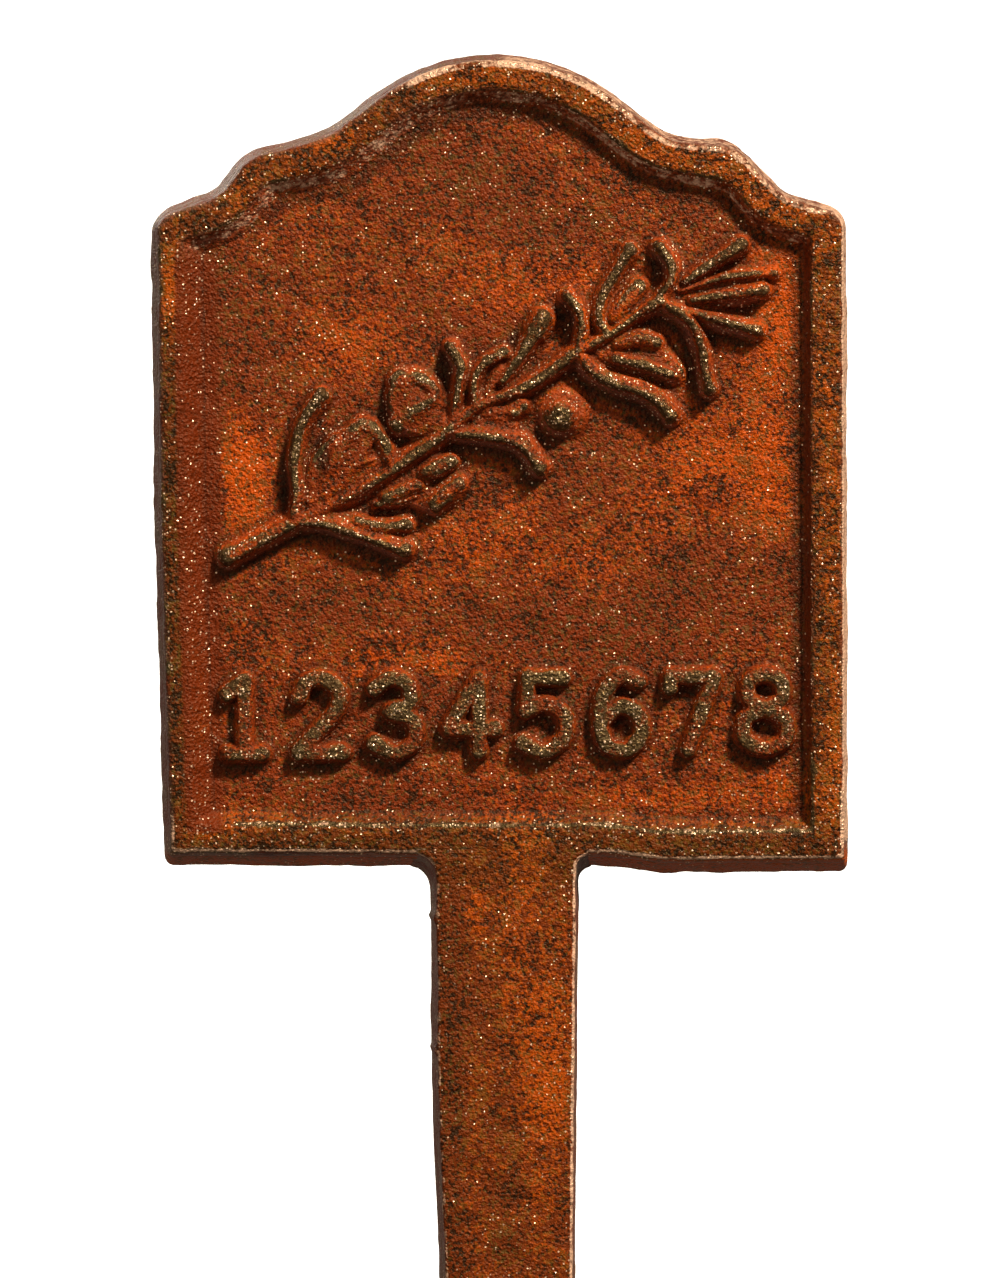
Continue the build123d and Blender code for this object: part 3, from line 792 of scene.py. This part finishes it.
FINISHES = {
    "web_rust": rusted_iron("rust_on_web", olives=0.012, pits=0.014, glints=0.04),
    "rim_rust": rusted_iron("rust_on_rim", blooms=0.01, olives=0.005, pits=0.025, glints=0.07),
    "stake_rust": rusted_iron("rust_on_stake", blooms=0.01, pits=0.005),
    "relief_rust": rusted_iron("rust_on_relief", glints=0.05),
}


# ---------------- the plate
def plate_ring(inset, y, inwards, backwards, shift=0.0):
    """A ring of the plate: the outline at an inset and depth, with the skin taken off inwards or towards the back."""
    points, normals = plate_outline(inset)
    ring = np.stack([points[:, 0] + shift, np.full(len(points), float(y)), points[:, 1]], axis=1)
    depth = skin_depth(ring)[:, None]
    return ring + depth * (inwards * np.stack([normals[:, 0], 0 * normals[:, 0], normals[:, 1]], axis=1)
                           + backwards * np.array([0, 1.0, 0]))


def wall_rings(low, high, count):
    """Rings up the plate's drafted outer wall, from one depth to another."""
    return [plate_ring(DRAFT * depth / THICKNESS, -depth, 1, 0) for depth in np.linspace(low, high, count)]


def foot_wall(rings):
    """One on the outer wall along the plate's foot, where the rust is orange, and nought above it."""
    return ramp(FOOT + 3 - rings[..., 2], 1.5)


def shaded_side(rings):
    """How much of the bare, streaked flank shows: all of it outside but along the foot, and inside less towards the
    left and the foot, whose slopes face the light. Inside, on the slopes that face away from the light, the
    flank's colour is painted shade."""
    inside = (np.abs(rings[..., 0]) < HALF_WIDTH - 3) & (rings[..., 2] > FOOT + 3)
    covered = ramp(-31 - rings[..., 0], 2) + ramp(FOOT + 20 - rings[..., 2], 10)
    bared = 1 - 0.9 * np.clip(covered, 0, 1) * ramp(268 - rings[..., 2], 2)
    return np.where(inside, bared, 1 - 0.9 * foot_wall(rings))


def painted_lit_wall(rings, on_top, on_right):
    """How much cream, a painted highlight where the lamp falls, lies on the outer wall and its front edge: none left
    of the arch's top, then as much as on_top says, and down the right side as much as on_right says."""
    x = rings[..., 0]
    right = ramp(x - 36, 2)
    return ramp(x + 3, 4) * ((1 - right) * on_top + right * on_right) * (rings[..., 2] > FOOT + 3)


# The slab behind the web: out over the flat back, up the wall, and in under the rim
centre = np.array([0, 0, 240.0])
edge = plate_ring(0.35, 0, 0.5, -0.3)
rings = []
for share in np.linspace(0.02, 1, 26):
    flat = (centre + share * (edge - centre)) * np.array([1, 0, 1])
    rings.append(flat - np.array([0, 1.0, 0]) * skin_depth(flat)[:, None] * 0.7)
rings += [plate_ring(0.06, -0.3, 1, 0)] + wall_rings(0.7, WEB, 9)
inner = plate_ring(2.9, -WEB + 0.5, 0, 0)
rings += [plate_ring(2.6, -WEB, 0, 0), inner]
rings += [centre + share * (inner - centre) * np.array([1, 0, 1]) + np.array([0, -WEB + 0.5, 0])
          for share in (0.7, 0.3, 0.02)]
slab = np.array(rings)
ring = np.arange(len(slab))[:, None]
flank = (ring >= 25) & (ring < 37)
slab_marks = {
    "wear": np.interp(ring, [23, 24, 25, 26, 27, 28], [0, 0.25, 0.6, 0.5, 0.2, 0]),
    "side": flank * shaded_side(slab),
    "cream": flank * painted_lit_wall(slab, 0.70, 0.92),
    "bloom": 3 * flank * foot_wall(slab),
    "aged": 0.8,
}

# The web's front, a fine sheet that runs out under the rim
columns = np.linspace(-HALF_WIDTH + 4.0, HALF_WIDTH - 4.0, 192)
top = outline_top(columns, 4.4)
rise = np.linspace(0, 1, 226)[:, None]
web_x = np.repeat(columns[None, :], len(rise), axis=0)
web_z = FOOT + 5.0 + rise * (top - FOOT - 5.0)[None, :]
web_sheet = raised_sheet(web_x, web_z, 0.0 * web_x, web=True)
make_piece("name_plate", [(slab, slab_marks, False), web_sheet], "name_plate", "web_rust")

# The rim: a profile carried round the outline, as inset, depth below the face, skin inwards, skin backwards, wear,
# painted shade, how far the ring lies aside, because the recess is a little to the left, and how much of its flank
# is bare, which on the inner slope is painted shade
bevel = DRAFT * (THICKNESS - 0.5) / THICKNESS
face_in = DRAFT + RIM_FACE
foot_in = face_in + RIM_SLOPE
RIM_PROFILE = [
    (DRAFT * WEB / THICKNESS, 1.8, 1, 0, 0.05, 0, 0, 1),
    (DRAFT * (THICKNESS - 1.2) / THICKNESS, 1.2, 1, 0, 0.05, 0, 0, 1),
    (bevel - 0.02, 0.55, 1, 0.1, 0.2, 0, 0, 1),
    (bevel + 0.12, 0.24, 0.8, 0.6, 0.5, 0, 0, 0.8),
    (bevel + 0.38, 0.06, 0.3, 1, 0.5, 0, 0, 0.3),
    (bevel + 0.75, 0, 0, 1, 0.2, 0, 0, 0),
    (bevel + 1.15, 0, 0, 1, 0.05, 0, -0.12, 0),
    (bevel + 1.6, 0, 0, 1, 0, 0, -0.25, 0),
    (bevel + 2.1, 0, 0, 1, 0, 0, -0.35, 0),
    (face_in - 0.85, 0, 0, 1, 0.05, 0, -0.45, 0),
    (face_in - 0.40, 0.02, 0, 1, 0.25, 0, -0.45, 0.05),
    (face_in - 0.05, 0.14, 0, 1, 0.6, 0, -0.43, 0.3),
    (face_in + 0.20, 0.4, 0, 1, 0.4, 0, -0.35, 0.4),
    (face_in + 0.50, 0.78, 0, 1, 0, 0, -0.2, 0.4),
    (face_in + 0.82, 1.14, 0, 1, 0, 0, 0, 0.4),
    (face_in + 1.15, 1.46, 0, 1, 0, 0.1, 0.15, 0.3),
    (foot_in + 0.05, 1.68, 0, 1, 0, 0.6, 0.25, 0.1),
    (foot_in + 0.50, 1.78, 0, 1, 0, 0.45, 0.3, 0),
    (foot_in + 0.95, 1.86, 0, 1, 0, 0.1, 0.3, 0),
    (foot_in + 0.95, 2.2, 0, 0, 0, 0, 0.3, 0),
    (2.4, 2.2, 0, 0, 0, 0, 0, 0),
]
rim = np.array([plate_ring(inset, below - THICKNESS, inwards, backwards, aside)
                for inset, below, inwards, backwards, _, _, aside, _ in RIM_PROFILE])
x, z = rim[..., 0], rim[..., 2]
ring = np.arange(len(rim))[:, None]
ring_wear, ring_hollow, ring_side = (np.array(RIM_PROFILE)[:, i : i + 1] for i in (4, 5, 7))


def on_rings(first, *values):
    """Values for the rim's rings, from the first that has one on, and nought for the others."""
    column = np.zeros((len(RIM_PROFILE), 1))
    column[first : first + len(values), 0] = values
    return column


# Cream: a scrape left of the arch's top, pale lines along both foot edges, painted light on the outer wall and slope
foot_of_rim = ramp(FOOT + 12 - z, 6)
scrape = place(430, 78)
scrape = 0.9 * np.exp(-((x - scrape[0]) / 8.5) ** 2 - ((z - scrape[1]) / 4.2) ** 2) * on_rings(2, 1, 1, 1, 1)
foot_edges = foot_of_rim * (on_rings(3, 0.8, 0.9, 0.3) + on_rings(10, 0.3, 0.52, 0.5))
on_top, on_right = on_rings(0, 0.70, 0.66, 0.62, 0.60, 0.66, 0.78), on_rings(0, 0.92, 0.92, 0.92, 0.95, 0.40)
shaded = shaded_side(rim) * (z > FOOT + 8)
slope = on_rings(12, 1, 1, 1, 1) * shaded
right_slope = (x > 31) * (z < 268)
left_wall = (ring > 8) * (x < -31) * (z < 268)
rim_marks = {
    "wear": ring_wear * (1 + 0.7 * foot_of_rim) * (1 - 0.8 * left_wall),
    # Painted shade at the foot of the slope, and the rim's painted shadow along the top and right
    "hollow": ring_hollow + on_rings(17, 0.25, 0.58) * shaded,
    # On the rim's right slope, deep is painted shade
    "deep": left_wall * deep_at(x, z) + 0.8 * right_slope * slope,
    "bloom": patches(BLOOMS, x, z) + 4 * (ring < 3) * foot_wall(rim),
    "cream": scrape + foot_edges + painted_lit_wall(rim, on_top, on_right)
    # On the shaded slope, cream is painted fill light
    + slope * np.where(right_slope, 0.2, np.interp(x, [-10, 5], [0.58, 0.62])),
    "painted_glint_spots": patches(PAINTED_GLINT_PLACES, x, z) + painted_lit_wall(rim, 1.2 * (on_top > 0.65), 0.6 * (on_right > 0.5)),
    "side": shaded_side(rim) * ring_side,
    # Wall colour on the shaded top slope is painted fill light
    "wall": 0.8 * slope * (1 - right_slope),
    "aged": np.clip(3.08 - 0.168 * ring, 0.25, 1),
}
make_piece("plate_rim", [(rim, rim_marks, True)], "plate_rim", "rim_rust")


# ---------------- the stake
def stake_half(z, lift, fillet):
    """The stake's half width for each height: a blunt round point, a 26 degree point, the taper, and a fillet that
    meets the plate's foot, which the draft lifts towards the front."""
    sine, cosine, slope = np.sin(POINT_HALF_ANGLE), np.cos(POINT_HALF_ANGLE), np.tan(POINT_HALF_ANGLE)
    meeting = POINT_RADIUS * (1 - sine)
    point = POINT_RADIUS * cosine + (z - meeting) * slope
    ball = np.sqrt(np.clip(POINT_RADIUS**2 - (POINT_RADIUS - np.minimum(z, POINT_RADIUS)) ** 2, 0, None))
    point = np.where(z < meeting, ball, point)
    risen = np.clip(z - STAKE_TAPER_START, 0, None) / (FOOT - STAKE_TAPER_START)
    taper = STAKE_LOW_HALF + 0.25 + (STAKE_TOP_HALF - STAKE_LOW_HALF) * risen
    softness = 0.5
    body = (point + taper - np.sqrt((point - taper) ** 2 + softness**2 * ramp(z, 20))) / 2
    up = np.clip(z - (FOOT + lift - fillet), 0, fillet * 0.999)
    return body + fillet - np.sqrt(fillet**2 - up**2)


def stake_rows():
    """Heights of the stake's rings: close together at the point, even up the blade, close at the fillets."""
    point = 6 * np.linspace(0.03, 1, 26) ** 1.6
    blade = np.arange(6.4, FOOT - 3, 0.46)
    return np.concatenate([point, blade, np.linspace(FOOT - 2.8, FOOT + 3.8, 28)])


# The section of the stake, from the middle of its back round to the front: across as a share of the half width,
# inset, depth, skin inwards, skin backwards, wear
back = [(x, 0, 0, 0, -0.7, 0.05) for x in np.linspace(0, 0.94, 12)]
side = [(1, 0.05, 0.25, 0.6, -0.2, 0.5), (1, 0.10, 0.7, 1, 0, 0.2)]
side += [(1, STAKE_DRAFT * depth / THICKNESS, depth, 1, 0, 0.1) for depth in np.linspace(1.3, 4.9, 7)]
side += [(1, STAKE_DRAFT * 0.93, 5.32, 1, 0.2, 0.3), (1, STAKE_DRAFT + 0.06, 5.62, 0.6, 0.6, 0.55),
         (1, STAKE_DRAFT + 0.30, 5.76, 0.2, 1, 0.45)]
front = [(x, STAKE_DRAFT + 0.45, THICKNESS, 0, 1, wear)
         for x, wear in zip(np.linspace(0.97, 0, 19), [0.3, 0.1] + [0.0] * 17)]
half_section = np.array(back + side + front)
section = np.concatenate([half_section, half_section[-2:0:-1]])
mirror = np.concatenate([np.ones(len(half_section)), -np.ones(len(half_section) - 2)])[None, :]
heights = stake_rows()[:, None]
across, inset, depth, inwards, backwards, wear = (section[:, i][None, :] for i in range(6))
lift = (DRAFT + FOOT_LIFT) * depth / THICKNESS + np.where(mirror > 0, -0.05, 0.3)
half = stake_half(heights, lift, np.where(mirror > 0, 1.5, 2.5))
# The left side stands out by 0.35 mm round z = 172 mm, and has two small nubs
half = half + np.where(mirror < 0, 0.35 * np.exp(-((heights - 172) / 14) ** 2), 0)
for nub in (191.4, 176.1):
    nub_width = 0.35 * np.exp(-((heights - nub) / 0.6) ** 2)
    half = half + np.where((mirror < 0) & (depth > 1) & (depth < 5.4), nub_width, 0)
narrow = ramp(half, 2.0)
x = mirror * np.maximum(across * (half - inset * narrow), 0)
thin = np.clip(heights / 9, 0.25, 1) ** 0.5
y = -depth * (0.35 + 0.65 * thin)
ground = np.stack([x, y + 0 * x, heights + 0 * x], axis=-1)
taken = skin_depth(ground)
calm = ramp(heights, 4)
x = x - mirror * taken * inwards * narrow * calm
y = y + taken * backwards * calm + 0.35 * ramp(heights - FOOT - 2.9, 0.7) * (depth > 5)
stake = np.stack([x, y, heights + 0 * x], axis=-1)
stake_marks = {
    "wear": wear,
    "bloom": patches(BLOOMS, x, heights),
    "side": ramp(5.6 - depth, 0.4) * (depth > 0.2),
    "cream": np.where(mirror > 0, 0.85, 0.6) * ((across > 0.99) & (depth > 5.2)),
    "aged": np.clip((heights - FOOT + 12) / 12, 0.7, 1),
}
make_piece("stake_blade", [(stake, stake_marks, False)], "stake_blade", "stake_rust")

# ---------------- the sprig and the numerals
for name, ridges in SPRIG.items():
    make_piece(name, [along_ridge(ridge) for ridge in ridges], name, "relief_rust")


def numeral_sheet(left):
    """A sheet under one numeral, sunk into the web round its edge."""
    low, high = place(left - 13, NUMERAL_FOOT + 19), place(left + NUMERAL_WIDTH + 11, NUMERAL_TOP - 19)
    across = np.linspace(low[0], high[0], 52)[None, :]
    up = np.linspace(low[1], high[1], 66)[:, None]
    x, z = across + 0 * up, up + 0 * across
    edge = np.minimum(np.minimum(x - low[0], high[0] - x), np.minimum(z - low[1], high[1] - z))
    rings, marks, closed = raised_sheet(x, z, np.clip(1 - edge / 0.35, 0, 1) + 0.06, worn_from=1.3)
    return rings, marks | {"wear": marks["wear"] * 0.78, "wall": marks["wall"] * 0.4}, closed


make_piece("raised_numerals", [numeral_sheet(left) for left in NUMERAL_LEFTS], None, "relief_rust")


# ---------------- the floor
def make_floor():
    """A pale round floor that turns up into a wall all the way round: flat to 0.6 m, a quarter circle of 0.4 m, then
    upright. Seen from outside the wall is clear, so that the label shows from every side."""
    turn = np.linspace(0, np.pi / 2, 20)
    radius = np.concatenate([[0.02], 0.6 + 0.4 * np.sin(turn), [1.0]])[:, None]
    height = np.concatenate([[0.0], 0.4 - 0.4 * np.cos(turn), [3.0]])[:, None] - 0.0006
    angle = np.linspace(0, 2 * np.pi, 96, endpoint=False)[None, :]
    points = np.stack([radius * np.cos(angle), radius * np.sin(angle), height + 0 * angle], axis=-1)
    rows, count = points.shape[:2]
    faces = ring_faces(rows, count, False, 0)[:, ::-1].tolist() + [list(range(count))]
    mesh = bpy.data.meshes.new("floor")
    mesh.from_pydata(points.reshape(-1, 3).tolist(), [], faces)
    mesh.polygons.foreach_set("use_smooth", np.ones(len(faces), dtype=bool))
    floor = bpy.data.objects.new("floor", mesh)
    bpy.context.collection.objects.link(floor)
    finish = Finish("pale_floor")
    finish.shader.inputs["Base Color"].default_value = (0.86, 0.86, 0.85, 1)
    finish.shader.inputs["Roughness"].default_value = 0.9
    finish.shader.inputs["Emission Color"].default_value = (0.88, 0.94, 1, 1)
    finish.shader.inputs["Emission Strength"].default_value = 0.6
    outside = finish.add("ShaderNodeNewGeometry", {}, {}, "Backfacing")
    clear = finish.add("ShaderNodeBsdfTransparent", {}, {})
    either = finish.add("ShaderNodeMixShader", {}, {0: outside, 1: Wire(finish, finish.shader.outputs[0]), 2: clear})
    finish.join(either, finish.tree.nodes["Material Output"].inputs["Surface"])
    mesh.materials.append(finish.material)
    floor.visible_diffuse = False
    floor.visible_glossy = False
    floor.visible_shadow = False


make_floor()
